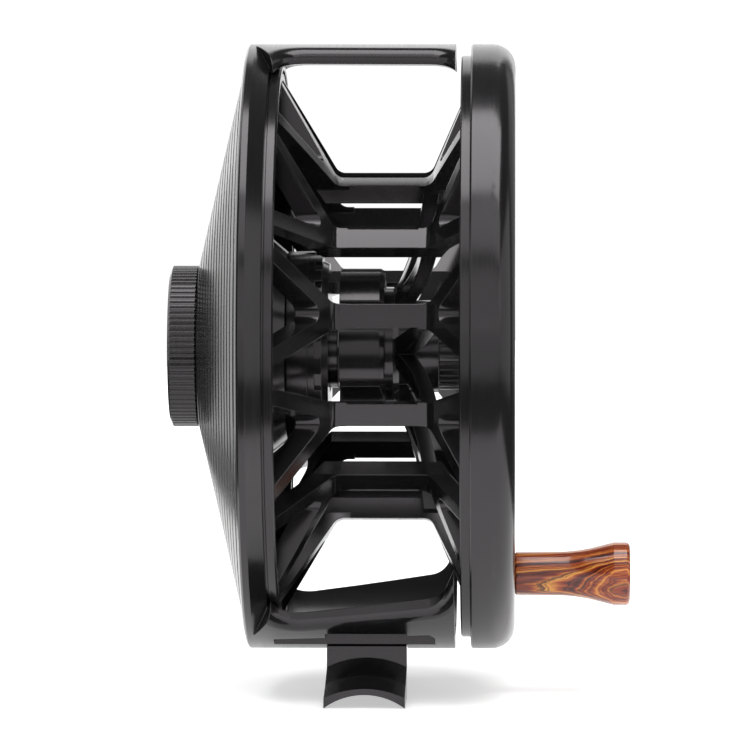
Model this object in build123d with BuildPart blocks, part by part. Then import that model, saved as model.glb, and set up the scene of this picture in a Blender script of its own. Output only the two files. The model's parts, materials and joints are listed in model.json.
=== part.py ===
from build123d import *
import os
from math import cos, hypot, radians, sin, sqrt

os.makedirs("parts", exist_ok=True)

# ---------------------------------------------------------------- driving dimensions (mm)
# Frame of reference: the origin is the middle of the reel foot's saddle, +Z is up from the
# rod to the reel, and +X runs along the spool axis towards the handle. Outlines of turned
# pieces are lists of (station along X, radius from the spool axis).

AXIS_Z = 57.9  # height of the spool axis above the saddle

# frame
FRAME_R = 52.5  # outer radius of the ring and of the palming rim
BAND_X0, BAND_X1 = -20.35, -19.3  # full-diameter band of the ring
SLOPE_X, SLOPE_R = -16.7, 50.2  # foot of the ring's sloping front face
LIP_X = -14.7  # end of the ring's inner lip
LIP_R = 49.1
RING_BORE_R = 48.0
JOINT_X = -21.3  # where the cover meets the ring
JOINT_R = 48.0
COVER_SEAT_X = -20.4
REGISTER_R = 44.0  # raised middle of the plate that centres the cover
PLATE_X0, PLATE_X1 = -21.0, -19.3  # back plate
FIT_GAP = 0.03
BOSS_X = -13.8  # end of the plate's conical boss
BOSS_R = 16.5
BOSS_BORE_R = 13.0
POST_IN_R = 50.0
POST_END_X = 15.2
POST_ROUND = 2.3
# half width of each post near the ring and where its free end flares, and how much its root and
# its end flare out
TOP_POST = (10.1, 10.6, 6.0, 4.1)
FOOT_POST = (22.8, 27.3, 3.5, 7.0)
POST_ROOT_X, POST_WAIST_X, POST_FLARE_X = -16.0, -10.2, 10.5
POST_HEEL = 3.2  # how far inside its waist a post meets the ring's full diameter

# reel foot
FOOT_W = 13.8  # across the rod
FOOT_REAR_HALF = 5.9  # half width at the rear tip
FOOT_L = 62.0  # along the rod
FOOT_CROWN_T, FOOT_MIDDLE_T, FOOT_TIP_T = 4.7, 2.5, 1.0  # thickness at the block, halfway, at the tip
SADDLE_R = 11.5
FOOT_BLOCK_HALF = 12.6  # half length of the block between the two blades
FOOT_SEAT_Z = AXIS_Z - 51.2  # flat of the post that the block bears on
FOOT_FLAT_Y = 13.0  # flats milled on both sides of the bottom post
FOOT_HEAD_Z = AXIS_Z - 50.1  # spot faces under the screw heads
FOOT_SCREW_Y = 7.5
FOOT_SCREW_R = 1.5
FOOT_SCREW_L = 5.6  # under the head
FOOT_TAPPED = 4.6  # depth of the tapped holes in the foot

# back cover and drag knob
COVER_X = -29.45
COVER_R = 13.9
COVER_BORE_R = 12.0
COVER_T = 1.6
COVER_GROOVES = 13
COVER_SCREW_PCR = 30.0
COVER_SCREW_R = 1.25
KNOB_X = -34.4
KNOB_R = 14.0
KNOB_FLUTES = 84
KNOB_TURN_BORE = 7.06

# drag unit
NECK_R = 7.0
NECK_X = -30.4
HOUSING_X = -10.2
CAVITY_R = 11.4
CAP_X0, CAP_X1 = -10.2, -6.7
CAP_BORE_R = 8.0
DISC_STACK_X = -16.85
ROTOR_T, STATOR_T, DISC_GAP = 0.9, 0.7, 0.04
ROTORS = 4
DRUM_HEX = 13.4  # across flats
DRIVE_JOURNAL_R = 7.15
HOUSING_SCREW_R, HOUSING_SCREW_PCR = 1.0, 14.75
PIN_PCR = 9.2  # thrust pins
CLICK_TEETH = 30
CLICK_R = 10.0
PAWL_PIVOT_R = 12.4
PAWL_ANGLE = 120

# spindle and spool bearings
SPINDLE_R = 3.0
SPINDLE_END_X = 12.4
SLEEVE_BORE_R, SLEEVE_R = 3.03, 4.0
REAR_BEARING_X, FRONT_BEARING_X = -1.5, 7.4
BEARING_W = 3.5
BEARING_R = 6.0
BALL_R = 0.5

# spool
ARBOR_R, ARBOR_IN_R = 30.3, 26.6
ARBOR_X0, ARBOR_X1 = -5.0, 10.7
BAR_W = 4.35  # outer face of a bar
FORK_ROUND = 1.8
SECTORS = 6  # pairs of arbor bars
SECTOR_START = 34.35  # middle of the first pair, from +Y towards +Z
BAR_HALF_PITCH = 13.75
JUNCTION_SPREAD = 4.0  # half the angle between two spokes at the ring
SPOKE_W = 2.8
REAR_RING_R, REAR_RING_IN_R = 47.4, 44.6
STEP_X0, STEP_X1, STEP_R = 16.2, 17.9, 50.5
RIM_X = 25.5
RIM_IN_R = 46.6
RIM_ROUND = 4.0
HUB_X0, HUB_X1, HUB_R = -4.8, 12.3, 8.0
HUB_BARREL_X, HUB_BARREL_R = 5.4, 10.3
HUB_LOBE_X, HUB_LOBE_R, HUB_LOBE_W = 3.0, 13.6, 8.4
DRIVE_HEX = 12.3  # across flats

# handle
HANDLE_R = 39.6  # distance of the handle from the spool axis
BOSS_FOOT_X = 16.4  # where the bosses for the handle and the counterweight stand on the flange
HANDLE_X0, HANDLE_X1 = 25.5, 45.5
GRIP_NECK_R, GRIP_FLARE_R = 3.75, 5.5

# ---------------------------------------------------------------- planes and small helpers
spool_axis = Axis((0, 0, AXIS_Z), (1, 0, 0))
handle_axis = Axis((0, 0, AXIS_Z - HANDLE_R), (1, 0, 0))
section_plane = Plane(origin=(0, 0, AXIS_Z), x_dir=(1, 0, 0), z_dir=(0, -1, 0))
handle_section = Plane(origin=(0, 0, AXIS_Z - HANDLE_R), x_dir=(1, 0, 0), z_dir=(0, -1, 0))


def disc_plane(station):
    """Plane square to the spool axis, its own x along +Y and its own y along +Z."""
    return Plane(origin=(station, 0, AXIS_Z), x_dir=(0, 1, 0), z_dir=(1, 0, 0))


def polar(radius, angle):
    """Point of a disc plane at a radius and an angle in degrees."""
    return (radius * cos(radians(angle)), radius * sin(radians(angle)))


def turned(outline, mode=Mode.ADD, plane=section_plane, axis=spool_axis):
    """Revolve a closed (station, radius) outline inside the current part."""
    with BuildSketch(plane) as section:
        with BuildLine():
            Polyline(*outline, close=True)
        make_face()
    return revolve(section.sketch, axis=axis, mode=mode)


def tube(x0, x1, inner, outer, mode=Mode.ADD, plane=section_plane, axis=spool_axis):
    """Plain ring between two stations."""
    outline = [(x0, inner), (x1, inner), (x1, outer), (x0, outer)]
    return turned(outline, mode, plane, axis)


def drilled(x0, x1, radius, pitch_radius, count, start=0.0, mode=Mode.SUBTRACT):
    """Ring of round holes, or of pins, parallel to the spool axis."""
    with BuildSketch(disc_plane(x0)) as circles:
        with PolarLocations(pitch_radius, count, start_angle=start):
            Circle(radius)
    return extrude(circles.sketch, amount=x1 - x0, mode=mode)


def hex_cut(x0, x1, across_flats, mode=Mode.SUBTRACT):
    """Hexagonal prism about the spool axis."""
    with BuildSketch(disc_plane(x0)) as hexagon:
        RegularPolygon(across_flats / 2, 6, major_radius=False)
    return extrude(hexagon.sketch, amount=x1 - x0, mode=mode)


def save(piece, name):
    """Label one finished piece and write its STEP file."""
    piece.part.label = name
    export_step(piece.part, f"parts/{name}.step")


# ---------------------------------------------------------------- frame
def post_prism(waist_half, flare_half, root_flare, end_flare, depth):
    """Prism through one post: its plan sweeps in from the ring, widens evenly and flares at its free end."""
    waist, start = Vector(POST_WAIST_X, waist_half), Vector(POST_FLARE_X, flare_half)
    corner = Vector(POST_ROOT_X, waist_half + root_flare)
    heel = Vector(BAND_X1 + 0.3, waist_half - POST_HEEL)
    with BuildSketch(Plane.XY.offset(AXIS_Z)) as plan:
        with BuildLine():
            Spline(corner, waist, tangents=[(0.3, -1), start - waist])
            Line(waist, start)
            side = Spline(start, (POST_END_X, flare_half + end_flare), tangents=[start - waist, (0.45, 1)])
            Polyline(side @ 1, (POST_END_X, 0), (BAND_X1 - 0.2, 0), (BAND_X1 - 0.2, heel.Y), heel, corner)
        make_face()
        mirror(about=Plane.XZ)
    extrude(plan.sketch, amount=depth)


with BuildPart() as post_blank:
    post_prism(*TOP_POST, FRAME_R + 1)
    post_prism(*FOOT_POST, -FRAME_R - 1)
    tube(BAND_X1 - 0.2, POST_END_X, POST_IN_R, FRAME_R, Mode.INTERSECT)
    outer_sides = post_blank.edges().filter_by(
        lambda e: abs(hypot(e.center().Y, e.center().Z - AXIS_Z) - FRAME_R) < 0.3 and 4 < e.length < 30
        and abs(e.center().Y) > 10 and e.center().X > POST_ROOT_X
    )
    fillet(outer_sides, POST_ROUND)

with BuildPart() as frame:
    turned([
        (PLATE_X0, REGISTER_R), (COVER_SEAT_X, REGISTER_R), (COVER_SEAT_X, JOINT_R), (JOINT_X, JOINT_R),
        (JOINT_X + 0.25, FRAME_R - 1.7), (BAND_X0 - 0.35, FRAME_R - 0.45), (BAND_X0, FRAME_R),
        (BAND_X1, FRAME_R), (SLOPE_X, SLOPE_R), (SLOPE_X, LIP_R - 0.4), (SLOPE_X + 0.4, LIP_R - 0.4),
        (SLOPE_X + 0.4, LIP_R), (LIP_X - 0.3, LIP_R), (LIP_X, LIP_R - 0.3), (LIP_X, RING_BORE_R),
        (PLATE_X1, RING_BORE_R), (PLATE_X1, 20.9), (BOSS_X - 0.3, BOSS_R), (BOSS_X, BOSS_R - 0.3),
        (BOSS_X, BOSS_BORE_R), (PLATE_X0, BOSS_BORE_R),
    ])
    add(post_blank.part)
    # flat seat for the foot's block, and a slanted flat along both sides of the bottom post
    with BuildSketch(Plane.XY) as seat:
        Rectangle(FOOT_W + 2 * FIT_GAP, 2 * FOOT_FLAT_Y)
    extrude(amount=FOOT_SEAT_Z, mode=Mode.SUBTRACT)
    for hand in (1, -1):
        with BuildSketch(Plane.XZ.offset(hand * FOOT_FLAT_Y)) as flat:
            with BuildLine():
                Polyline((-15.9, 0), (-15.9, AXIS_Z - 49.7), (10.9, AXIS_Z - 48.7), (11.8, AXIS_Z - 49.4),
                         (11.8, 0), close=True)
            make_face()
            Rectangle(FOOT_W + 2 * FIT_GAP, AXIS_Z - 48.5, align=(Align.CENTER, Align.MIN))
        extrude(amount=hand * 12, mode=Mode.SUBTRACT)
    # bores and spot faces for the foot screws, bores for the housing and cover screws
    for offset_z, radius, depth in ((FOOT_SEAT_Z - 1, FOOT_SCREW_R, 4), (FOOT_HEAD_Z, 2.8, 3)):
        with BuildSketch(Plane.XY.offset(offset_z)) as holes:
            with Locations((0, FOOT_SCREW_Y), (0, -FOOT_SCREW_Y)):
                Circle(radius)
        extrude(amount=depth, mode=Mode.SUBTRACT)
    drilled(PLATE_X0, BOSS_X, HOUSING_SCREW_R, HOUSING_SCREW_PCR, 4, 45)
    drilled(PLATE_X0, PLATE_X1, COVER_SCREW_R, COVER_SCREW_PCR, 4)
save(frame, "frame")

# ---------------------------------------------------------------- reel foot and its screws
foot_sag = SADDLE_R - sqrt(SADDLE_R**2 - (FOOT_W / 2) ** 2)


def foot_section(station, crown, crown_sag):
    """Section across the foot: saddle arc below, crowned top above."""
    half = FOOT_W / 2
    with BuildSketch(Plane.XZ.offset(-station)) as section:
        with BuildLine():
            ThreePointArc((-half, -foot_sag), (0, 0), (half, -foot_sag))
            Line((half, -foot_sag), (half, crown - crown_sag))
            ThreePointArc((half, crown - crown_sag), (0, crown), (-half, crown - crown_sag))
            Line((-half, crown - crown_sag), (-half, -foot_sag))
        make_face()
    return section.sketch


with BuildPart() as reel_foot:
    # block between the blades, square on top where it bears on the post
    with BuildSketch(Plane.XZ.offset(-FOOT_BLOCK_HALF)) as block:
        with BuildLine():
            ThreePointArc((-FOOT_W / 2, -foot_sag), (0, 0), (FOOT_W / 2, -foot_sag))
            Polyline((FOOT_W / 2, -foot_sag), (FOOT_W / 2, FOOT_SEAT_Z), (-FOOT_W / 2, FOOT_SEAT_Z),
                     (-FOOT_W / 2, -foot_sag))
        make_face()
    extrude(amount=2 * FOOT_BLOCK_HALF)
    # two tapering blades that slide under the reel seat's hoods
    for hand in (1, -1):
        root = foot_section(hand * (FOOT_BLOCK_HALF - 0.2), FOOT_CROWN_T, 1.7)
        middle = foot_section(hand * 22, FOOT_MIDDLE_T, 1.6)
        tip = foot_section(hand * FOOT_L / 2, FOOT_TIP_T, 1.5)
        loft([root, middle, tip], ruled=True)
    # the foot narrows evenly from its front blade to its rear one
    with BuildSketch(Plane.XY.offset(-foot_sag)) as side_waste:
        for hand in (1, -1):
            with BuildLine():
                Polyline((hand * FOOT_W / 2, -FOOT_BLOCK_HALF), (hand * FOOT_REAR_HALF, FOOT_L / 2 + 0.1),
                         (hand * FOOT_W, FOOT_L / 2 + 0.1), (hand * FOOT_W, -FOOT_BLOCK_HALF), close=True)
            make_face()
    extrude(amount=FOOT_SEAT_Z + foot_sag, mode=Mode.SUBTRACT)
    with BuildSketch(Plane.XY.offset(FOOT_SEAT_Z)) as tapped:
        with Locations((0, FOOT_SCREW_Y), (0, -FOOT_SCREW_Y)):
            Circle(FOOT_SCREW_R)
    extrude(amount=-FOOT_TAPPED, mode=Mode.SUBTRACT)
save(reel_foot, "reel_foot")

with BuildPart() as foot_screws:
    for side_y in (FOOT_SCREW_Y, -FOOT_SCREW_Y):
        with BuildSketch(Plane.XY.offset(FOOT_HEAD_Z)) as shank:
            with Locations((0, side_y)):
                Circle(FOOT_SCREW_R)
        extrude(amount=-FOOT_SCREW_L)
        with BuildSketch(Plane.XY.offset(FOOT_HEAD_Z)) as head:
            with Locations((0, side_y)):
                Circle(2.65)
        extrude(amount=1.3)
        with BuildSketch(Plane.XY.offset(FOOT_HEAD_Z + 1.3)) as socket:
            with Locations((0, side_y)):
                RegularPolygon(1.0, 6, major_radius=False)
        extrude(amount=-1.0, mode=Mode.SUBTRACT)
save(foot_screws, "foot_screws")

# ---------------------------------------------------------------- back cover
cover_slope = (JOINT_X - 0.05 - COVER_X) / (JOINT_R - COVER_R)


def cover_face(radius, depth=0.0):
    """Point of the cover's outer cone at a radius, sunk by a depth along X."""
    return (COVER_X + (radius - COVER_R) * cover_slope + depth, radius)


groove_pitch = (JOINT_R - 0.8 - COVER_R - 0.8) / COVER_GROOVES
grooves = []
for turn in range(COVER_GROOVES):
    inner_edge = COVER_R + 0.8 + turn * groove_pitch
    grooves += [cover_face(inner_edge), cover_face(inner_edge + 0.16 * groove_pitch, 0.28),
                cover_face(inner_edge + 0.32 * groove_pitch)]

with BuildPart() as back_cover:
    turned([
        (COVER_X, COVER_BORE_R), (COVER_X, COVER_R), *grooves, cover_face(JOINT_R - 0.45),
        (JOINT_X + 0.4, JOINT_R - 0.45), (JOINT_X + 0.4, JOINT_R - FIT_GAP),
        (COVER_SEAT_X, JOINT_R - FIT_GAP), (COVER_SEAT_X, REGISTER_R + FIT_GAP),
        (PLATE_X0, REGISTER_R + FIT_GAP), (PLATE_X0, REGISTER_R - 2),
        (COVER_X + 1.1 + COVER_T, 14.6), (-26.2, 14.6), (-26.2, COVER_BORE_R),
    ])
    # groove for the knob's seal and four bosses for the cover screws
    tube(-28.3, -27.1, COVER_BORE_R, 13.0, Mode.SUBTRACT)
    drilled(-24.2, PLATE_X0, 2.6, COVER_SCREW_PCR, 4, mode=Mode.ADD)
    drilled(-23.9, PLATE_X0, COVER_SCREW_R, COVER_SCREW_PCR, 4)
save(back_cover, "back_cover")

with BuildPart() as cover_screws:
    drilled(-23.9, PLATE_X1, COVER_SCREW_R, COVER_SCREW_PCR, 4, mode=Mode.ADD)
    drilled(PLATE_X1, PLATE_X1 + 1.0, 2.3, COVER_SCREW_PCR, 4, mode=Mode.ADD)
    drilled(PLATE_X1 + 0.4, PLATE_X1 + 1.0, 1.1, COVER_SCREW_PCR, 4)
save(cover_screws, "cover_screws")

with BuildPart() as knob_seal:
    with BuildSketch(section_plane) as seal_section:
        with Locations((-27.7, 12.45)):
            Circle(0.5)
    revolve(axis=spool_axis)
save(knob_seal, "knob_seal")

# ---------------------------------------------------------------- drag knob
with BuildPart() as drag_knob:
    with BuildSketch(disc_plane(KNOB_X)) as fluted:
        Circle(KNOB_R)
        with PolarLocations(KNOB_R + 0.12, KNOB_FLUTES):
            Circle(0.36, mode=Mode.SUBTRACT)
    extrude(amount=COVER_X - 0.1 - KNOB_X)
    turned([
        (KNOB_X, 0), (KNOB_X, KNOB_R - 1.0), (KNOB_X + 0.35, KNOB_R - 0.3), (KNOB_X + 1.0, KNOB_R + 1),
        (COVER_X - 0.6, KNOB_R + 1), (COVER_X - 0.1, KNOB_R - 0.4), (COVER_X - 0.1, 0),
    ], Mode.INTERSECT)
    tube(COVER_X - 0.2, -24.5, 11.15, COVER_BORE_R - 0.15)
    # dished face, hollow back and the bore that turns on the neck
    turned([(KNOB_X, 0), (KNOB_X + 0.5, 0), (KNOB_X + 0.5, 9.6), (KNOB_X, 10.4)], Mode.SUBTRACT)
    turned([(-32.5, 0), (-32.5, 11.15), (COVER_X, 11.15), (COVER_X, 0)], Mode.SUBTRACT)
    tube(-32.6, -27.6, KNOB_TURN_BORE, 8.3)
    drilled(-29.4, -28.6, 0.45, KNOB_TURN_BORE, 24)
save(drag_knob, "drag_knob")

with BuildPart() as knob_snap_ring:
    tube(-27.4, -26.7, 6.4, 8.4)
    with BuildSketch(disc_plane(-27.5)) as gap:
        with Locations((0, 8)):
            Rectangle(4, 6)
    extrude(amount=1, mode=Mode.SUBTRACT)
save(knob_snap_ring, "knob_snap_ring")

with BuildPart() as detent_ball:
    with Locations((-29.0, 0, AXIS_Z + 6.2)):
        Sphere(0.75)
save(detent_ball, "detent_ball")

with BuildPart() as detent_spring:
    with Locations((-29.0, 0, AXIS_Z + 3.6)):
        Cylinder(0.7, 1.8, align=(Align.CENTER, Align.CENTER, Align.MIN))
save(detent_spring, "detent_spring")

# ---------------------------------------------------------------- drag unit, frame side
with BuildPart() as drag_housing:
    turned([
        (NECK_X, SPINDLE_R), (NECK_X, NECK_R), (PLATE_X0, NECK_R), (PLATE_X0, BOSS_BORE_R),
        (BOSS_X, BOSS_BORE_R), (BOSS_X, BOSS_R), (HOUSING_X, BOSS_R), (HOUSING_X, CAVITY_R),
        (PLATE_X1, CAVITY_R), (PLATE_X1, SPINDLE_R),
    ])
    tube(-27.4, -26.7, 6.4, NECK_R, Mode.SUBTRACT)
    drilled(PLATE_X0, PLATE_X1, 1.06, PIN_PCR, 3)
    drilled(BOSS_X, BOSS_X + 2.4, HOUSING_SCREW_R, HOUSING_SCREW_PCR, 4, 45)
    with BuildSketch(disc_plane(PLATE_X1 + 0.6)) as keyways:
        with PolarLocations(CAVITY_R + 0.3, 3, start_angle=60):
            Rectangle(2.0, 3.2)
    extrude(amount=HOUSING_X - PLATE_X1 - 0.6, mode=Mode.SUBTRACT)
    with Locations((-29.0, 0, AXIS_Z + 3.6)):
        Cylinder(0.76, 4, align=(Align.CENTER, Align.CENTER, Align.MIN), mode=Mode.SUBTRACT)
save(drag_housing, "drag_housing")

with BuildPart() as housing_screws:
    drilled(PLATE_X0, BOSS_X + 2.2, HOUSING_SCREW_R, HOUSING_SCREW_PCR, 4, 45, Mode.ADD)
    drilled(PLATE_X0 - 1.2, PLATE_X0, 1.8, HOUSING_SCREW_PCR, 4, 45, Mode.ADD)
save(housing_screws, "housing_screws")

with BuildPart() as housing_cap:
    turned([
        (CAP_X0 + 0.7, 15.1), (CAP_X0, 15.1), (CAP_X0, BOSS_R), (CAP_X1 - 1.1, BOSS_R), (CAP_X1 - 1.1, 14.9),
        (CAP_X1, 14.4), (CAP_X1, CAP_BORE_R), (CAP_X1 - 1.4, CAP_BORE_R), (CAP_X1 - 1.4, 14.0),
        (CAP_X0 + 0.7, 14.0),
    ])
    with BuildSketch(disc_plane(CAP_X1 - 2.3)) as notches:
        with PolarLocations(BOSS_R, 18):
            Rectangle(2.2, 2.9)
    extrude(amount=1.4, mode=Mode.SUBTRACT)
save(housing_cap, "housing_cap")

with BuildPart() as shaft_seal:
    tube(CAP_X1 - 1.3, CAP_X1 - 0.2, DRIVE_JOURNAL_R + 0.05, CAP_BORE_R)
save(shaft_seal, "shaft_seal")

with BuildPart() as click_plate:
    tube(CAP_X0, CAP_X0 + 0.7, 8.2, 15.1)
    with BuildSketch(disc_plane(CAP_X0)) as pivot_hole:
        with Locations(polar(PAWL_PIVOT_R, PAWL_ANGLE)):
            Circle(0.8)
    extrude(amount=0.7, mode=Mode.SUBTRACT)
save(click_plate, "click_plate")

with BuildPart() as stator_discs:
    for layer in range(ROTORS - 1):
        face_x = DISC_STACK_X + ROTOR_T + DISC_GAP + layer * (ROTOR_T + STATOR_T + 2 * DISC_GAP)
        with BuildSketch(disc_plane(face_x)) as stator:
            Circle(CAVITY_R - 0.1)
            with PolarLocations(CAVITY_R + 0.1, 3, start_angle=60):
                Rectangle(2.0, 3.0)
            Circle(8.0, mode=Mode.SUBTRACT)
        extrude(amount=STATOR_T)
save(stator_discs, "stator_discs")

with BuildPart() as spindle:
    turned([
        (-32.3, 0), (-32.3, SPINDLE_R - 0.3), (-32.0, SPINDLE_R), (PLATE_X1, SPINDLE_R), (PLATE_X1, 4.6),
        (PLATE_X1 + 1.0, 4.6), (PLATE_X1 + 1.0, SPINDLE_R), (SPINDLE_END_X - 0.5, SPINDLE_R),
        (SPINDLE_END_X, SPINDLE_R - 0.5), (SPINDLE_END_X, 0),
    ])
save(spindle, "spindle")

with BuildPart() as spindle_nut:
    hex_cut(NECK_X - 1.7, NECK_X, 9.0, Mode.ADD)
    tube(NECK_X - 1.8, NECK_X + 0.1, 0, SPINDLE_R, Mode.SUBTRACT)
save(spindle_nut, "spindle_nut")

# ---------------------------------------------------------------- drag unit, pushed by the knob
with BuildPart() as thrust_ring:
    tube(-26.4, -25.5, NECK_R + 0.06, 11.05)
save(thrust_ring, "thrust_ring")

with BuildPart() as spring_washers:
    turned([(-25.5, 7.5), (-25.3, 7.5), (-24.85, 10.8), (-25.05, 10.8)])
    turned([(-24.8, 10.8), (-24.6, 10.8), (-24.15, 7.5), (-24.35, 7.5)])
save(spring_washers, "spring_washers")

with BuildPart() as thrust_pins:
    tube(-24.15, -23.3, NECK_R + 0.06, 11.0)
    drilled(-23.3, -18.6, 1.0, PIN_PCR, 3, mode=Mode.ADD)
save(thrust_pins, "thrust_pins")

with BuildPart() as pressure_plate:
    tube(-18.6, -17.4, 8.0, CAVITY_R - 0.15)
save(pressure_plate, "pressure_plate")

# ---------------------------------------------------------------- drag unit, turning with the spool
with BuildPart() as drive_hub:
    turned([
        (-17.6, 3.7), (-17.6, 5.0), (CAP_X0 + 0.3, 5.0), (CAP_X0 + 0.3, 6.0), (-8.8, 6.0),
        (-8.8, DRIVE_JOURNAL_R),
        (-5.3, DRIVE_JOURNAL_R), (-5.3, 3.7),
    ])
    hex_cut(-5.4, -2.4, DRIVE_HEX, Mode.ADD)
    tube(-17.6, -2.4, 0, 3.7, Mode.SUBTRACT)
save(drive_hub, "drive_hub")

with BuildPart() as drive_bushings:
    tube(-17.6, -14.6, SPINDLE_R + 0.03, 3.7)
    tube(-6.4, -3.4, SPINDLE_R + 0.03, 3.7)
save(drive_bushings, "drive_bushings")

with BuildPart() as clutch_rollers:
    drilled(-16.6, -11.0, 0.3, 5.3, 12, mode=Mode.ADD)
save(clutch_rollers, "clutch_rollers")

with BuildPart() as clutch_cup:
    tube(-17.2, -10.8, 5.6, 6.2)
save(clutch_cup, "clutch_cup")

with BuildPart() as drag_drum:
    hex_cut(-17.2, -10.8, DRUM_HEX, Mode.ADD)
    tube(-17.3, -10.7, 0, 6.2, Mode.SUBTRACT)
save(drag_drum, "drag_drum")

with BuildPart() as friction_discs:
    for layer in range(ROTORS):
        face_x = DISC_STACK_X + layer * (ROTOR_T + STATOR_T + 2 * DISC_GAP)
        with BuildSketch(disc_plane(face_x)) as friction:
            Circle(CAVITY_R - 0.3)
            RegularPolygon(DRUM_HEX / 2, 6, major_radius=False, mode=Mode.SUBTRACT)
        extrude(amount=ROTOR_T)
save(friction_discs, "friction_discs")

with BuildPart() as click_gear:
    with BuildSketch(disc_plane(CAP_X0 + 0.8)) as toothed:
        Circle(CLICK_R)
        with PolarLocations(CLICK_R, CLICK_TEETH):
            Circle(0.55, mode=Mode.SUBTRACT)
        Circle(6.0, mode=Mode.SUBTRACT)
    extrude(amount=0.6)
save(click_gear, "click_gear")

# ---------------------------------------------------------------- click pawl
with BuildPart() as pawl_pin:
    with BuildSketch(disc_plane(CAP_X0)) as pin:
        with Locations(polar(PAWL_PIVOT_R, PAWL_ANGLE)):
            Circle(0.8)
    extrude(amount=2.0)
save(pawl_pin, "pawl_pin")

with BuildPart() as click_pawl:
    with BuildSketch(disc_plane(CAP_X0 + 0.8)) as pawl:
        with BuildLine():
            Polyline(polar(CLICK_R + 0.08, PAWL_ANGLE), polar(11.6, PAWL_ANGLE - 5),
                     polar(13.0, PAWL_ANGLE - 5.5), polar(13.0, PAWL_ANGLE + 5.5),
                     polar(11.6, PAWL_ANGLE + 5), close=True)
        make_face()
        with Locations(polar(PAWL_PIVOT_R, PAWL_ANGLE)):
            Circle(1.25)
            Circle(0.83, mode=Mode.SUBTRACT)
    extrude(amount=0.6)
save(click_pawl, "click_pawl")

with BuildPart() as pawl_spring:
    with BuildSketch(disc_plane(CAP_X0 + 1.5)) as leaf:
        with PolarLocations(13.5, 1, start_angle=PAWL_ANGLE):
            Rectangle(0.25, 4.5)
    extrude(amount=0.5)
save(pawl_spring, "pawl_spring")

# ---------------------------------------------------------------- spool bearings
bearing_stations = (REAR_BEARING_X, FRONT_BEARING_X)

with BuildPart() as bearing_sleeve:
    tube(REAR_BEARING_X, FRONT_BEARING_X + BEARING_W, SLEEVE_BORE_R, SLEEVE_R)
save(bearing_sleeve, "bearing_sleeve")

for bearing_name, bearing_x in (("rear_bearing", REAR_BEARING_X), ("front_bearing", FRONT_BEARING_X)):
    with BuildPart() as bearing:
        tube(bearing_x, bearing_x + BEARING_W, 5.1, BEARING_R)
        for ball in range(9):
            across, up = polar(4.56, ball * 40)
            with Locations((bearing_x + BEARING_W / 2, across, AXIS_Z + up)):
                Sphere(BALL_R)
    save(bearing, bearing_name)

with BuildPart() as bearing_snap_ring:
    tube(REAR_BEARING_X - 0.5, REAR_BEARING_X, 5.0, BEARING_R + 0.35)
save(bearing_snap_ring, "bearing_snap_ring")

# ---------------------------------------------------------------- spool
def strip(start, end, width):
    """Straight strip of a width between two points, added to the current sketch."""
    along = (Vector(*end) - Vector(*start)).normalized()
    side = Vector(-along.Y, along.X) * (width / 2)
    a, b = Vector(*start), Vector(*end)
    Polygon(a + side, b + side, b - side, a - side, align=None)


def bar_section(bar, hand):
    """Section of one arbor bar: each side is parallel to the middle of the window beside it."""
    middle = Vector(*polar(ARBOR_R, bar))
    across = Vector(*polar(BAR_W / 2, bar + hand * 90))
    pair_side = Vector(*polar(6, bar - hand * BAR_HALF_PITCH))
    gap_side = Vector(*polar(6, bar + hand * (180 / SECTORS - BAR_HALF_PITCH)))
    outer = Vector(*polar(0.6, bar))
    Polygon(middle - across + outer, middle + across + outer, middle + across - gap_side,
            middle - across - pair_side, align=None)


def truss_sketch(station):
    """Zigzag of spokes, two from the end of each arbor bar out to the ring."""
    with BuildSketch(disc_plane(station)) as truss:
        for sector in range(SECTORS):
            centre = SECTOR_START + sector * 360 / SECTORS
            for hand in (-1, 1):
                bar = centre + hand * BAR_HALF_PITCH
                inner = polar(ARBOR_R - 1.2, bar)
                pair_junction = centre + hand * JUNCTION_SPREAD
                gap_junction = centre + hand * (180 / SECTORS - JUNCTION_SPREAD)
                strip(inner, polar(46.5, pair_junction), SPOKE_W)
                strip(inner, polar(46.5, gap_junction), SPOKE_W)
                bar_section(bar, hand)
        forks = truss.vertices().filter_by(lambda v: ARBOR_R + 1 < hypot(v.X, v.Y) < 41)
        fillet(forks, FORK_ROUND)
    return truss.sketch


def flange(outline):
    """Revolve one flange's outline, rounded where the line's channel turns up from the arbor."""
    with BuildSketch(section_plane) as section:
        with BuildLine():
            Polyline(*outline, close=True)
        make_face()
        fillet(section.vertices().sort_by(lambda v: hypot(v.X - outline[2][0], v.Y - outline[2][1]))[0], 2.0)
    revolve(section.sketch, axis=spool_axis)


with BuildPart() as arbor:
    tube(ARBOR_X0, ARBOR_X1, ARBOR_IN_R, ARBOR_R)
    with BuildSketch(disc_plane(ARBOR_X0)) as bars:
        for sector in range(SECTORS):
            for hand in (-1, 1):
                bar_section(SECTOR_START + sector * 360 / SECTORS + hand * BAR_HALF_PITCH, hand)
    extrude(bars.sketch, amount=ARBOR_X1 - ARBOR_X0, mode=Mode.INTERSECT)

with BuildPart() as front_truss:
    flange([(7.2, ARBOR_IN_R), (7.2, ARBOR_R), (10.9, ARBOR_R), (16.3, 42.5), (16.3, 46), (19.9, 46),
            (19.9, 42.5), (12.9, ARBOR_IN_R)])
    extrude(truss_sketch(9), amount=12, mode=Mode.INTERSECT)

with BuildPart() as rear_truss:
    flange([(-1.6, ARBOR_IN_R), (-1.6, ARBOR_R), (-5.2, ARBOR_R), (-14.8, 46.2), (-18.0, 46.2), (-18.0, 45.0),
            (-7.2, ARBOR_IN_R)])
    extrude(truss_sketch(-19), amount=16, mode=Mode.INTERSECT)

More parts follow.
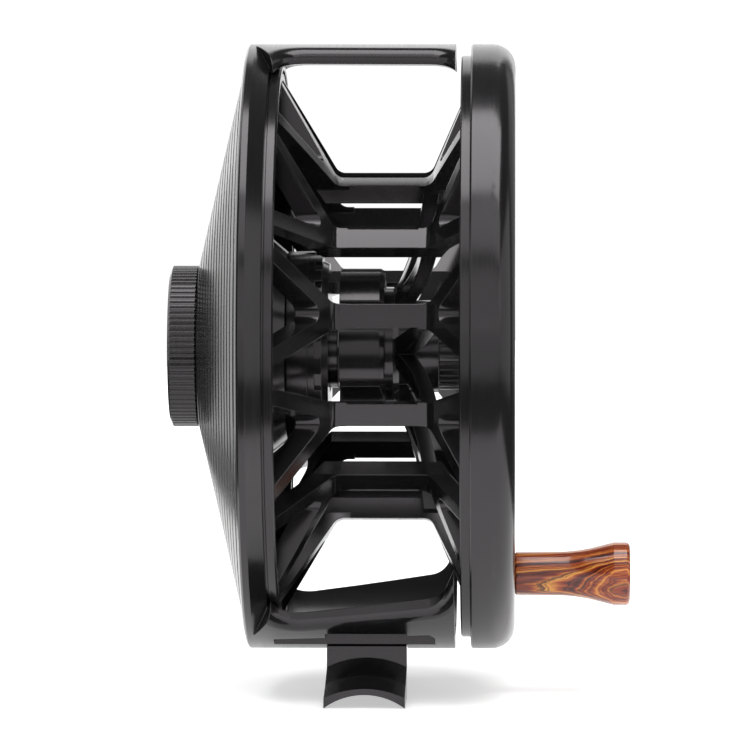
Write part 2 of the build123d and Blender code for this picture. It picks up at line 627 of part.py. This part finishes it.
with BuildPart() as hub_arms:
    with BuildSketch(section_plane) as dish:
        with BuildLine():
            ends = [(0.35, 1), (0.12, 1)]
            rear = Spline((3.4, HUB_R - 1), (7.6, 17.5), (9.8, ARBOR_R - 1), tangents=ends)
            front = Spline((6.4, HUB_R - 1), (10.1, 17.5), (12.4, ARBOR_R - 1), tangents=ends)
            Line(rear @ 0, front @ 0)
            Line(rear @ 1, front @ 1)
        make_face()
    revolve(axis=spool_axis)
    with BuildSketch(disc_plane(3)) as arms:
        for sector in range(SECTORS):
            lobe = SECTOR_START + (sector + 0.5) * 360 / SECTORS
            for bar in (lobe - 180 / SECTORS + BAR_HALF_PITCH, lobe + 180 / SECTORS - BAR_HALF_PITCH):
                strip(polar(8, lobe), polar(ARBOR_R - 1.2, bar), 3.0)
    extrude(arms.sketch, amount=10, mode=Mode.INTERSECT)

with BuildPart() as hub_lobes:
    turned([
        (HUB_X0, HUB_R), (HUB_X0, HUB_LOBE_R), (HUB_LOBE_X - 0.9, HUB_LOBE_R),
        (HUB_LOBE_X - 0.1, HUB_LOBE_R - 0.5), (HUB_LOBE_X, HUB_LOBE_R - 1.3),
        (HUB_LOBE_X - 1.1, HUB_BARREL_R - 0.5), (HUB_LOBE_X - 1.1, HUB_R),
    ])
    with BuildSketch(disc_plane(HUB_X0)) as lobes:
        with PolarLocations(HUB_LOBE_R / 2, SECTORS, start_angle=SECTOR_START + 180 / SECTORS):
            RectangleRounded(HUB_LOBE_R, HUB_LOBE_W, 0.9)
    extrude(amount=HUB_LOBE_X - HUB_X0, mode=Mode.INTERSECT)

with BuildPart() as spool:
    # front ring: stepped band, palming rim with a rounded corner, recessed face
    with BuildSketch(section_plane) as front_ring:
        with BuildLine():
            Polyline((STEP_X0, 42.4), (STEP_X0, STEP_R - 0.25), (STEP_X0 + 0.25, STEP_R), (STEP_X1, STEP_R),
                     (STEP_X1, FRAME_R - 0.3), (STEP_X1 + 0.3, FRAME_R), (RIM_X - RIM_ROUND, FRAME_R))
            RadiusArc((RIM_X - RIM_ROUND, FRAME_R), (RIM_X, FRAME_R - RIM_ROUND), RIM_ROUND)
            Polyline((RIM_X, FRAME_R - RIM_ROUND), (RIM_X, RIM_IN_R + 0.4), (RIM_X - 0.4, RIM_IN_R),
                     (19.6, 45.6), (19.6, 42.4), (STEP_X0, 42.4))
        make_face()
    revolve(axis=spool_axis)
    tube(-18.2, -14.9, REAR_RING_IN_R, REAR_RING_R)
    add(front_truss.part)
    add(rear_truss.part)
    add(arbor.part)
    # hub: nose, barrel with six lobes, and the arms
    turned([(HUB_X0, 4.7), (HUB_X0, HUB_BARREL_R), (HUB_BARREL_X - 1, HUB_BARREL_R),
            (HUB_BARREL_X, HUB_BARREL_R - 1), (HUB_BARREL_X, HUB_R), (HUB_X1, HUB_R), (HUB_X1, 4.7)])
    add(hub_lobes.part)
    add(hub_arms.part)
    # bearing bore, its snap ring groove and the drive socket
    tube(HUB_X0, FRONT_BEARING_X + BEARING_W, 0, BEARING_R, Mode.SUBTRACT)
    tube(REAR_BEARING_X - 0.5, REAR_BEARING_X, BEARING_R, BEARING_R + 0.35, Mode.SUBTRACT)
    hex_cut(HUB_X0, -2.2, DRIVE_HEX + 0.12)
    # boss for the handle and its opposite number for the counterweight
    for angle in (-90, 90):
        with BuildSketch(disc_plane(BOSS_FOOT_X)) as boss:
            with Locations(polar(HANDLE_R, angle)):
                Circle(4.8)
        extrude(amount=24.9 - BOSS_FOOT_X if angle < 0 else 21.2 - BOSS_FOOT_X)
        with BuildSketch(disc_plane(BOSS_FOOT_X)) as bore:
            with Locations(polar(HANDLE_R, angle)):
                Circle(1.6 if angle < 0 else 3.4)
        extrude(amount=10, mode=Mode.SUBTRACT)
save(spool, "spool")

with BuildPart() as counterweight:
    with BuildSketch(disc_plane(BOSS_FOOT_X + 0.6)) as slug:
        with Locations(polar(HANDLE_R, 90)):
            Circle(3.4)
    extrude(amount=4.2)
save(counterweight, "counterweight")

# ---------------------------------------------------------------- release knob
with BuildPart() as release_knob:
    turned([
        (SPINDLE_END_X + 0.5, 0), (SPINDLE_END_X + 0.5, SPINDLE_R + 0.08), (11.3, SPINDLE_R + 0.08),
        (11.3, 4.6),
        (HUB_X1 + 0.1, 4.6), (HUB_X1 + 0.1, HUB_R - 0.5), (16.6, HUB_R - 0.5), (17.4, HUB_R - 1.3), (17.4, 0),
    ])
    with BuildSketch(disc_plane(HUB_X1 + 0.1)) as knurl:
        with PolarLocations(HUB_R - 0.4, 36):
            Circle(0.3)
    extrude(amount=6, mode=Mode.SUBTRACT)
    with BuildSketch(disc_plane(17.4)) as coin_slot:
        Rectangle(12, 1.6)
    extrude(amount=-1.0, mode=Mode.SUBTRACT)
save(release_knob, "release_knob")

# ---------------------------------------------------------------- handle
with BuildPart() as handle_post:
    tube(BOSS_FOOT_X, 44.2, 0, 1.6, plane=handle_section, axis=handle_axis)
save(handle_post, "handle_post")

with BuildPart() as handle_washer:
    tube(24.9, 25.4, 1.6, 3.5, plane=handle_section, axis=handle_axis)
save(handle_washer, "handle_washer")

with BuildPart() as handle_grip:
    with BuildSketch(handle_section) as grip:
        with BuildLine():
            Polyline((HANDLE_X0, 2.5), (HANDLE_X0, GRIP_NECK_R - 0.25), (HANDLE_X0 + 0.25, GRIP_NECK_R),
                     (33.4, 3.85))
            Spline((33.4, 3.85), (38.5, 4.45), (42.7, GRIP_FLARE_R), tangents=[(1, 0.02), (1, 0.24)])
            Polyline((42.7, GRIP_FLARE_R), (44.7, GRIP_FLARE_R))
            RadiusArc((44.7, GRIP_FLARE_R), (HANDLE_X1, GRIP_FLARE_R - 0.8), 0.8)
            Polyline((HANDLE_X1, GRIP_FLARE_R - 0.8), (HANDLE_X1, 3.2), (43.2, 3.2), (43.2, 2.5),
                     (HANDLE_X0, 2.5))
        make_face()
    revolve(axis=handle_axis)
save(handle_grip, "handle_grip")

with BuildPart() as handle_bushings:
    tube(25.5, 30.5, 1.63, 2.5, plane=handle_section, axis=handle_axis)
    tube(38.2, 43.2, 1.63, 2.5, plane=handle_section, axis=handle_axis)
save(handle_bushings, "handle_bushings")

with BuildPart() as handle_screw:
    tube(43.3, 45.2, 1.6, 3.0, plane=handle_section, axis=handle_axis)
    tube(44.2, 45.2, 0, 3.0, plane=handle_section, axis=handle_axis)
    with BuildSketch(Plane(origin=(45.2, 0, AXIS_Z - HANDLE_R), x_dir=(0, 1, 0), z_dir=(1, 0, 0))) as slot:
        Rectangle(5, 0.8)
    extrude(amount=-0.6, mode=Mode.SUBTRACT)
save(handle_screw, "handle_screw")
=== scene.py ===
import json
from math import pi

import bpy
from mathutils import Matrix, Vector


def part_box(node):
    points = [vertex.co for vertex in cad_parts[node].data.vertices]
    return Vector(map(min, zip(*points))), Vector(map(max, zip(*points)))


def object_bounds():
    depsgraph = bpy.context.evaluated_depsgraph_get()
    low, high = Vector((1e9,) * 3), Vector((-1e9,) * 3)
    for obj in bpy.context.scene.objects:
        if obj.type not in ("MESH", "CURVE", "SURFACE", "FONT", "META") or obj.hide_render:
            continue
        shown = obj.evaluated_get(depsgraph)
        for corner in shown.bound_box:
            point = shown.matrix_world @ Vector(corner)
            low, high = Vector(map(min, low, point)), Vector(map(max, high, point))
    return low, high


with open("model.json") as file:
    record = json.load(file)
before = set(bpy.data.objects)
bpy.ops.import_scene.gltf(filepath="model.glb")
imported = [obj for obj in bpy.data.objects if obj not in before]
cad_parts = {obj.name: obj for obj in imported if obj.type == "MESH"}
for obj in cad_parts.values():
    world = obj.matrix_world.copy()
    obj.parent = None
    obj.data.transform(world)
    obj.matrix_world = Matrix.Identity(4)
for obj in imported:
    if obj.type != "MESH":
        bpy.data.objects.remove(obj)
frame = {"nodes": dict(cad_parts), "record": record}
cad_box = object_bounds()
nodes = frame["nodes"]

cover_low, cover_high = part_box("back_cover")
grip_low, grip_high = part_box("handle_grip")
AXIS_Z = (cover_low.z + cover_high.z) / 2  # the spool's axis
GRIP_Z = (grip_low.z + grip_high.z) / 2  # the handle's axis
FLOOR_GAP = 0.00002  # keeps the floor clear of the foot's lowest edge
FLOOR_Z = cad_box[0].z - FLOOR_GAP
WHITE = (1, 1, 1, 1)


# ---------------------------------------------------------------- camera
# in line with the rim's right side, a little above the spool's axis
CAMERA_AT = (0.0255, -0.9993, AXIS_Z + 0.0369)
CAMERA_TARGET = (0.0011, -0.0002, AXIS_Z - 0.0050)
SENSOR_MM = 36
LENS_MM = 275.8
CLIP_NEAR, CLIP_FAR = 0.05, 60


def aimed(obj, place, target):
    """Put an object at a place, its -Z pointing at the target."""
    obj.location = place
    obj.rotation_euler = (Vector(target) - Vector(place)).to_track_quat("-Z", "Y").to_euler()
    bpy.context.scene.collection.objects.link(obj)
    return obj


camera_data = bpy.data.cameras.new("camera")
camera_data.sensor_width = SENSOR_MM
camera_data.lens = LENS_MM
camera_data.clip_start, camera_data.clip_end = CLIP_NEAR, CLIP_FAR
camera = bpy.data.objects.new("camera", camera_data)
aimed(camera, CAMERA_AT, CAMERA_TARGET)
bpy.context.scene.camera = camera


# ---------------------------------------------------------------- studio
def softbox(name, place, target, size, radiance):
    """Large white area light of a stated radiance, aimed at a point and hidden from the camera."""
    light = bpy.data.lights.new(name, "AREA")
    light.shape = "RECTANGLE"
    light.size, light.size_y = size
    light.energy = radiance * pi * size[0] * size[1]
    box = aimed(bpy.data.objects.new(name, light), place, target)
    box.visible_camera = False


BACK_BOX_Z = AXIS_Z + 0.62
middle = (0, 0, AXIS_Z)
softbox("top_box", (0, -0.17, AXIS_Z + 1.0), middle, (1.3, 0.74), 4.6)
softbox("front_box", (0, -0.92, AXIS_Z + 1.0), middle, (2.2, 0.50), 1.6)
softbox("front_fill", (0, -1.3, AXIS_Z + 0.48), middle, (2.6, 0.55), 1.0)
softbox("front_low", (0, -1.4, AXIS_Z), middle, (2.6, 0.5), 0.85)
softbox("left_box", (-1.2, -0.45, AXIS_Z + 0.35), middle, (1.3, 0.9), 0.85)
softbox("left_back", (-0.75, 1.2, AXIS_Z + 0.32), middle, (1.0, 0.95), 0.85)
softbox("right_box", (1.2, -0.35, AXIS_Z + 0.25), middle, (1.5, 0.9), 0.95)
softbox("right_back", (1.0, 1.05, AXIS_Z + 0.35), middle, (1.0, 0.9), 0.30)
softbox("back_box", (0, 1.5, BACK_BOX_Z), (0, 0, BACK_BOX_Z), (0.9, 1.45), 1.15)


def link(tree, kind, inputs=None, **settings):
    """New node with its settings, and its inputs set to values or linked to sockets."""
    made = tree.nodes.new(kind)
    for key, value in settings.items():
        setattr(made, key, value)
    for key, value in (inputs or {}).items():
        if isinstance(value, bpy.types.NodeSocket):
            tree.links.new(value, made.inputs[key])
        else:
            made.inputs[key].default_value = value
    return made


SURROUND = 0.10  # dim room, as reflections see it
BACKDROP = 1.05  # white background, as the camera sees it
world = bpy.data.worlds.new("studio")
world.use_nodes = True
world.node_tree.nodes.clear()
path = link(world.node_tree, "ShaderNodeLightPath")
surround = link(world.node_tree, "ShaderNodeBackground", {"Color": WHITE, "Strength": SURROUND})
backdrop = link(world.node_tree, "ShaderNodeBackground", {"Color": WHITE, "Strength": BACKDROP})
chosen = link(world.node_tree, "ShaderNodeMixShader",
              {0: path.outputs["Is Camera Ray"], 1: surround.outputs[0], 2: backdrop.outputs[0]})
link(world.node_tree, "ShaderNodeOutputWorld", {"Surface": chosen.outputs[0]})
bpy.context.scene.world = world
bpy.context.scene.view_settings.view_transform = "Standard"


def new_material(name):
    """Empty node material and its tree."""
    material = bpy.data.materials.new(name)
    material.use_nodes = True
    material.node_tree.nodes.clear()
    return material, material.node_tree


def scalar(tree, operation, *values):
    """Math node's result."""
    return link(tree, "ShaderNodeMath", dict(enumerate(values)), operation=operation).outputs[0]


def vector(tree, operation, *values):
    """Vector math node's result."""
    made = link(tree, "ShaderNodeVectorMath", dict(enumerate(values)), operation=operation)
    return made.outputs["Value" if operation in ("LENGTH", "DOT_PRODUCT") else "Vector"]


def noise(tree, where, scale, detail=3.0, roughness=0.55):
    """Noise texture's value at a place."""
    inputs = {"Vector": where, "Scale": scale, "Detail": detail, "Roughness": roughness}
    return link(tree, "ShaderNodeTexNoise", inputs).outputs["Fac"]


def bands(tree, depth, per_metre, detail, roughness):
    """Noise texture's value along one direction only."""
    inputs = {"W": scalar(tree, "MULTIPLY", depth, per_metre), "Scale": 1.0, "Detail": detail,
              "Roughness": roughness}
    return link(tree, "ShaderNodeTexNoise", inputs, noise_dimensions="1D").outputs["Fac"]


def spread(tree, value, low, high, to_low, to_high):
    """Value mapped from one range to another, held at its ends."""
    inputs = {"Value": value, "From Min": low, "From Max": high, "To Min": to_low, "To Max": to_high}
    return link(tree, "ShaderNodeMapRange", inputs).outputs["Result"]


def blended(tree, share, first, second):
    """Colour between two colours."""
    mixed = link(tree, "ShaderNodeMix", {"Factor": share}, data_type="RGBA")
    for socket, colour in ((mixed.inputs[6], first), (mixed.inputs[7], second)):
        if isinstance(colour, bpy.types.NodeSocket):
            tree.links.new(colour, socket)
        else:
            socket.default_value = (*colour, 1)
    return mixed.outputs[2]


def ramp(tree, value, stops):
    """Colour ramp through (position, colour) stops."""
    made = link(tree, "ShaderNodeValToRGB", {"Fac": value})
    elements = made.color_ramp.elements
    while len(elements) < len(stops):
        elements.new(0.5)
    for element, (position, colour) in zip(elements, stops):
        element.position = position
        element.color = (*colour, 1)
    return made.outputs["Color"]


def object_place(tree):
    """Point in the part's own frame."""
    return link(tree, "ShaderNodeTexCoord").outputs["Object"]


RADIUS_IN_FEED = 0.83  # keeps the marks on faces of every slope, whether along or across the axis


def turned_place(tree, pitch, along):
    """Place that changes fast across a lathe's feed and slowly round its axis, for turning marks."""
    point = vector(tree, "SUBTRACT", object_place(tree), (0, 0, AXIS_Z))
    flat = vector(tree, "MULTIPLY", point, (0, 1, 1))
    radius = vector(tree, "LENGTH", flat)
    round_it = vector(tree, "MULTIPLY", vector(tree, "NORMALIZE", flat), (0, along, along))
    station = link(tree, "ShaderNodeSeparateXYZ", {0: point}).outputs["X"]
    feed = scalar(tree, "DIVIDE", scalar(tree, "MULTIPLY_ADD", radius, RADIUS_IN_FEED, station), pitch)
    feed_vector = link(tree, "ShaderNodeCombineXYZ", {"X": feed}).outputs[0]
    return vector(tree, "ADD", feed_vector, round_it), point


EDGE_SAMPLES = 6
EDGE_STARTS, EDGE_FULL = 0.985, 0.75  # cosines between the rounded normal and the face's own


def edge_share(tree, width):
    """How close a point is to a convex or concave edge, from 0 to 1, and the rounded normal there."""
    rounded = link(tree, "ShaderNodeBevel", {"Radius": width}, samples=EDGE_SAMPLES).outputs["Normal"]
    sharp = link(tree, "ShaderNodeNewGeometry").outputs["Normal"]
    agreement = vector(tree, "DOT_PRODUCT", rounded, sharp)
    return spread(tree, agreement, EDGE_STARTS, EDGE_FULL, 0, 1), rounded


def raised(tree, distance, height, normal):
    """Normal bumped by a height, on top of another normal."""
    inputs = {"Strength": 1.0, "Distance": distance, "Height": height, "Normal": normal}
    return link(tree, "ShaderNodeBump", inputs).outputs[0]


def round_the_axis(tree):
    """Tangent along the turning marks."""
    return link(tree, "ShaderNodeTangent", direction_type="RADIAL", axis="X").outputs[0]


DYE = 0.007  # mean colour of the black dye
DYE_THICK, DYE_THIN = (0.75, 0.76, 0.82), (1.25, 1.22, 1.28)  # shares of it, per channel
WORN_EDGE = (0.05, 0.05, 0.053)
ANODISED_TINT = (1.0, 0.95, 0.985, 1)


def anodised(name, pitch=0.00022, roughness=(0.13, 0.21), marks=0.0000022, edge=0.00020):
    """Black anodised aluminium: turning marks, slightly uneven dye, and edges where it is thinner."""
    material, tree = new_material(name)
    place, point = turned_place(tree, pitch, 2.2)
    marks_value = noise(tree, place, 1.0, 2.0, 0.7)
    broad_value = noise(tree, place, 0.17, 2.0, 0.5)
    cloud = noise(tree, point, 75.0, 3.0)
    grain = noise(tree, point, 9000.0, 2.0)
    near_edge, rounded = edge_share(tree, edge)
    dye = blended(tree, spread(tree, cloud, 0.3, 0.7, 0, 1), [DYE * share for share in DYE_THICK],
                  [DYE * share for share in DYE_THIN])
    worn = scalar(tree, "MULTIPLY", near_edge, spread(tree, grain, 0.35, 0.65, 0.25, 0.8))
    colour = blended(tree, worn, dye, WORN_EDGE)
    unevenness = scalar(tree, "ADD", marks_value, scalar(tree, "MULTIPLY", cloud, 0.5))
    rough = spread(tree, unevenness, 0.45, 1.05, *roughness)
    height = scalar(tree, "ADD", marks_value, scalar(tree, "MULTIPLY", grain, 0.06))
    height = scalar(tree, "MULTIPLY_ADD", broad_value, 1.3, height)
    shader = link(tree, "ShaderNodeBsdfPrincipled", {
        "Base Color": colour, "Roughness": rough, "Metallic": 0.0, "IOR": 1.52, "Anisotropic": 0.35,
        "Specular Tint": ANODISED_TINT,
        "Normal": raised(tree, marks, height, rounded), "Tangent": round_the_axis(tree)})
    link(tree, "ShaderNodeOutputMaterial", {"Surface": shader.outputs[0]})
    return material


METAL_PITCH, METAL_MARKS = 0.0003, 0.000006  # feed of the turning marks and their depth
METAL_EDGE = 0.00012
TARNISH, POLISH = 0.72, 1.35  # shares of a metal's colour where it is dull and along its edges


def metal(name, colour, roughness):
    """Bare turned metal with fine rings, slight tarnish and bright edges."""
    material, tree = new_material(name)
    place, point = turned_place(tree, METAL_PITCH, 2.0)
    rings = noise(tree, place, 1.0, 3.0, 0.7)
    cloud = noise(tree, point, 240.0, 4.0)
    near_edge, rounded = edge_share(tree, METAL_EDGE)
    tarnished = [channel * TARNISH for channel in colour]
    polished = [min(1, channel * POLISH) for channel in colour]
    dull = blended(tree, spread(tree, cloud, 0.3, 0.7, 0, 1), tarnished, colour)
    bright = blended(tree, near_edge, dull, polished)
    rough = spread(tree, scalar(tree, "ADD", rings, cloud), 0.7, 1.3, roughness * 0.75, roughness * 1.3)
    shader = link(tree, "ShaderNodeBsdfPrincipled", {
        "Base Color": bright, "Roughness": rough, "Metallic": 1.0, "Anisotropic": 0.6,
        "Normal": raised(tree, METAL_MARKS, rings, rounded), "Tangent": round_the_axis(tree)})
    link(tree, "ShaderNodeOutputMaterial", {"Surface": shader.outputs[0]})
    return material


TWILL_PER_METRE = 5200.0  # radians of the weave
FIBRE_UNDER, FIBRE_OVER = (0.012, 0.012, 0.013), (0.045, 0.045, 0.048)


def lining(name):
    """Carbon friction lining: a fine twill of black fibre bundles."""
    material, tree = new_material(name)
    point = object_place(tree)
    axes = link(tree, "ShaderNodeSeparateXYZ", {0: point}).outputs
    rising = scalar(tree, "ADD", axes["Y"], axes["Z"])
    falling = scalar(tree, "SUBTRACT", axes["Y"], axes["Z"])
    warp = scalar(tree, "SINE", scalar(tree, "MULTIPLY", rising, TWILL_PER_METRE))
    weft = scalar(tree, "SINE", scalar(tree, "MULTIPLY", falling, TWILL_PER_METRE))
    twill = scalar(tree, "MULTIPLY", warp, weft)
    fibre = noise(tree, point, 6000.0, 3.0)
    over_share = spread(tree, twill, -0.4, 0.4, 0, 1)
    colour = blended(tree, over_share, FIBRE_UNDER, FIBRE_OVER)
    height = scalar(tree, "ADD", twill, fibre)
    bumped = link(tree, "ShaderNodeBump", {"Strength": 0.6, "Distance": 0.00004, "Height": height})
    shader = link(tree, "ShaderNodeBsdfPrincipled", {
        "Base Color": colour, "Roughness": spread(tree, fibre, 0.3, 0.7, 0.32, 0.5),
        "Normal": bumped.outputs[0]})
    link(tree, "ShaderNodeOutputMaterial", {"Surface": shader.outputs[0]})
    return material


RUBBER_DARK, RUBBER_PALE = (0.010, 0.010, 0.010), (0.024, 0.023, 0.022)


def nitrile(name):
    """Matt black rubber with a fine moulded grain."""
    material, tree = new_material(name)
    point = object_place(tree)
    cloud = noise(tree, point, 400.0, 4.0)
    grain = noise(tree, point, 7000.0, 3.0)
    bloom = spread(tree, cloud, 0.35, 0.65, 0, 1)
    colour = blended(tree, bloom, RUBBER_DARK, RUBBER_PALE)
    bumped = link(tree, "ShaderNodeBump", {"Strength": 0.5, "Distance": 0.00003, "Height": grain})
    shader = link(tree, "ShaderNodeBsdfPrincipled", {
        "Base Color": colour, "Roughness": spread(tree, cloud, 0.3, 0.7, 0.55, 0.75),
        "Normal": bumped.outputs[0]})
    link(tree, "ShaderNodeOutputMaterial", {"Surface": shader.outputs[0]})
    return material


ACROSS_THE_LAYERS = (0.05, -0.86, -0.51)  # direction square to the growth layers
LAYERS_PER_METRE, VEINS_PER_METRE = 1450.0, 2500.0
WANDER, RIPPLE = 0.0034, 0.00035  # how far the layers stray, broadly and finely
WOOD_COLOURS = [
    (0.30, (0.022, 0.003, 0.002)), (0.40, (0.12, 0.012, 0.004)), (0.48, (0.27, 0.034, 0.007)),
    (0.56, (0.47, 0.115, 0.018)), (0.68, (0.74, 0.31, 0.05))]
VEIN_COLOUR = (0.024, 0.005, 0.003)
PORE_COLOUR = (0.040, 0.008, 0.004)


def rosewood(name):
    """Oiled and polished rosewood: growth layers along the grip, cut into loops where it flares."""
    material, tree = new_material(name)
    point = vector(tree, "SUBTRACT", object_place(tree), (0, 0, GRIP_Z))
    drawn_out = vector(tree, "MULTIPLY", point, (0.16, 1, 1))
    wander = noise(tree, drawn_out, 150.0, 2.0)
    ripple = noise(tree, drawn_out, 900.0, 3.0)
    depth = vector(tree, "DOT_PRODUCT", point, ACROSS_THE_LAYERS)
    depth = scalar(tree, "MULTIPLY_ADD", scalar(tree, "SUBTRACT", wander, 0.5), WANDER, depth)
    depth = scalar(tree, "MULTIPLY_ADD", scalar(tree, "SUBTRACT", ripple, 0.5), RIPPLE, depth)
    layers = bands(tree, depth, LAYERS_PER_METRE, 3.0, 0.6)
    fibre = noise(tree, vector(tree, "MULTIPLY", point, (0.06, 1, 1)), 2600.0, 3.0)
    layers = scalar(tree, "MULTIPLY_ADD", scalar(tree, "SUBTRACT", fibre, 0.5), 0.30, layers)
    body = ramp(tree, layers, WOOD_COLOURS)
    veins = bands(tree, depth, VEINS_PER_METRE, 2.0, 0.5)
    off_vein = scalar(tree, "ABSOLUTE", scalar(tree, "SUBTRACT", veins, 0.5))
    vein_share = spread(tree, off_vein, 0.04, 0.0, 0, 0.9)
    figured = blended(tree, vein_share, body, VEIN_COLOUR)
    pores = noise(tree, vector(tree, "MULTIPLY", point, (0.05, 1, 1)), 9000.0, 2.0)
    pore_share = spread(tree, pores, 0.60, 0.72, 0, 0.55)
    colour = blended(tree, pore_share, figured, PORE_COLOUR)
    bumped = link(tree, "ShaderNodeBump", {"Strength": 0.35, "Distance": 0.00002, "Height": pores})
    shader = link(tree, "ShaderNodeBsdfPrincipled", {
        "Base Color": colour, "Roughness": spread(tree, layers, 0.3, 0.7, 0.30, 0.42), "IOR": 1.3,
        "Coat Weight": 0.9, "Coat Roughness": 0.09, "Coat IOR": 1.5, "Normal": bumped.outputs[0]})
    link(tree, "ShaderNodeOutputMaterial", {"Surface": shader.outputs[0]})
    return material


finishes = {
    "frame_black": anodised("frame_anodised"),
    "cover_black": anodised("cover_anodised", pitch=0.00016, roughness=(0.15, 0.24), marks=0.000001,
                            edge=0.00012),
    "knob_black": anodised("knob_anodised", pitch=0.00018, roughness=(0.11, 0.17), marks=0.000001,
                           edge=0.00009),
    "housing_black": anodised("housing_anodised", edge=0.00018),
    "spool_black": anodised("spool_anodised", pitch=0.00026),
    "aluminium": metal("bare_aluminium", (0.62, 0.62, 0.64), 0.32),
    "steel": metal("stainless_steel", (0.50, 0.49, 0.47), 0.26),
    "bronze": metal("sintered_bronze", (0.52, 0.33, 0.14), 0.42),
    "carbon": lining("carbon_lining"),
    "rubber": nitrile("nitrile_rubber"),
    "grip_wood": rosewood("figured_rosewood"),
}
for part in frame["record"]["subparts"]:
    mesh = nodes[part["node"]].data
    mesh.materials.clear()
    mesh.materials.append(finishes[part["material_slot"]])


# ---------------------------------------------------------------- floor
SHEET_HALF, SHEET_FRONT, SHEET_BACK = 0.12, -0.13, 1.7
NEAR, FAR = 0.15, 1.3  # distances between which the paper's painted glow strengthens, so it brightens into the background
# the paper glows though it is no lamp: painted light, fainter near the reel and stronger far off, that
# makes up for the lamps' falloff, lightens the reel's shadow on it and lights the reel from below
NEAR_PAINTED_GLOW, FAR_PAINTED_GLOW = 0.50, 1.10
corners = [(-SHEET_HALF, SHEET_FRONT, FLOOR_Z), (SHEET_HALF, SHEET_FRONT, FLOOR_Z),
           (SHEET_HALF, SHEET_BACK, FLOOR_Z), (-SHEET_HALF, SHEET_BACK, FLOOR_Z)]
floor_mesh = bpy.data.meshes.new("floor")
floor_mesh.from_pydata(corners, [], [(0, 1, 2, 3)])
floor = bpy.data.objects.new("floor", floor_mesh)
bpy.context.scene.collection.objects.link(floor)
floor_material, floor_tree = new_material("pale_floor")
floor_place = object_place(floor_tree)
paper = noise(floor_tree, floor_place, 40.0, 3.0)
distance = vector(floor_tree, "LENGTH", floor_place)
# painted glow: the paper's emission rises with distance from the reel
painted_glow = spread(floor_tree, distance, NEAR, FAR, NEAR_PAINTED_GLOW, FAR_PAINTED_GLOW)
paper_colour = blended(floor_tree, paper, (0.80, 0.80, 0.80), (0.84, 0.84, 0.84))
floor_shader = link(floor_tree, "ShaderNodeBsdfPrincipled", {
    "Base Color": paper_colour, "Roughness": 0.9, "Specular IOR Level": 0.0,
    "Emission Color": WHITE, "Emission Strength": painted_glow})
link(floor_tree, "ShaderNodeOutputMaterial", {"Surface": floor_shader.outputs[0]})
floor_mesh.materials.append(floor_material)
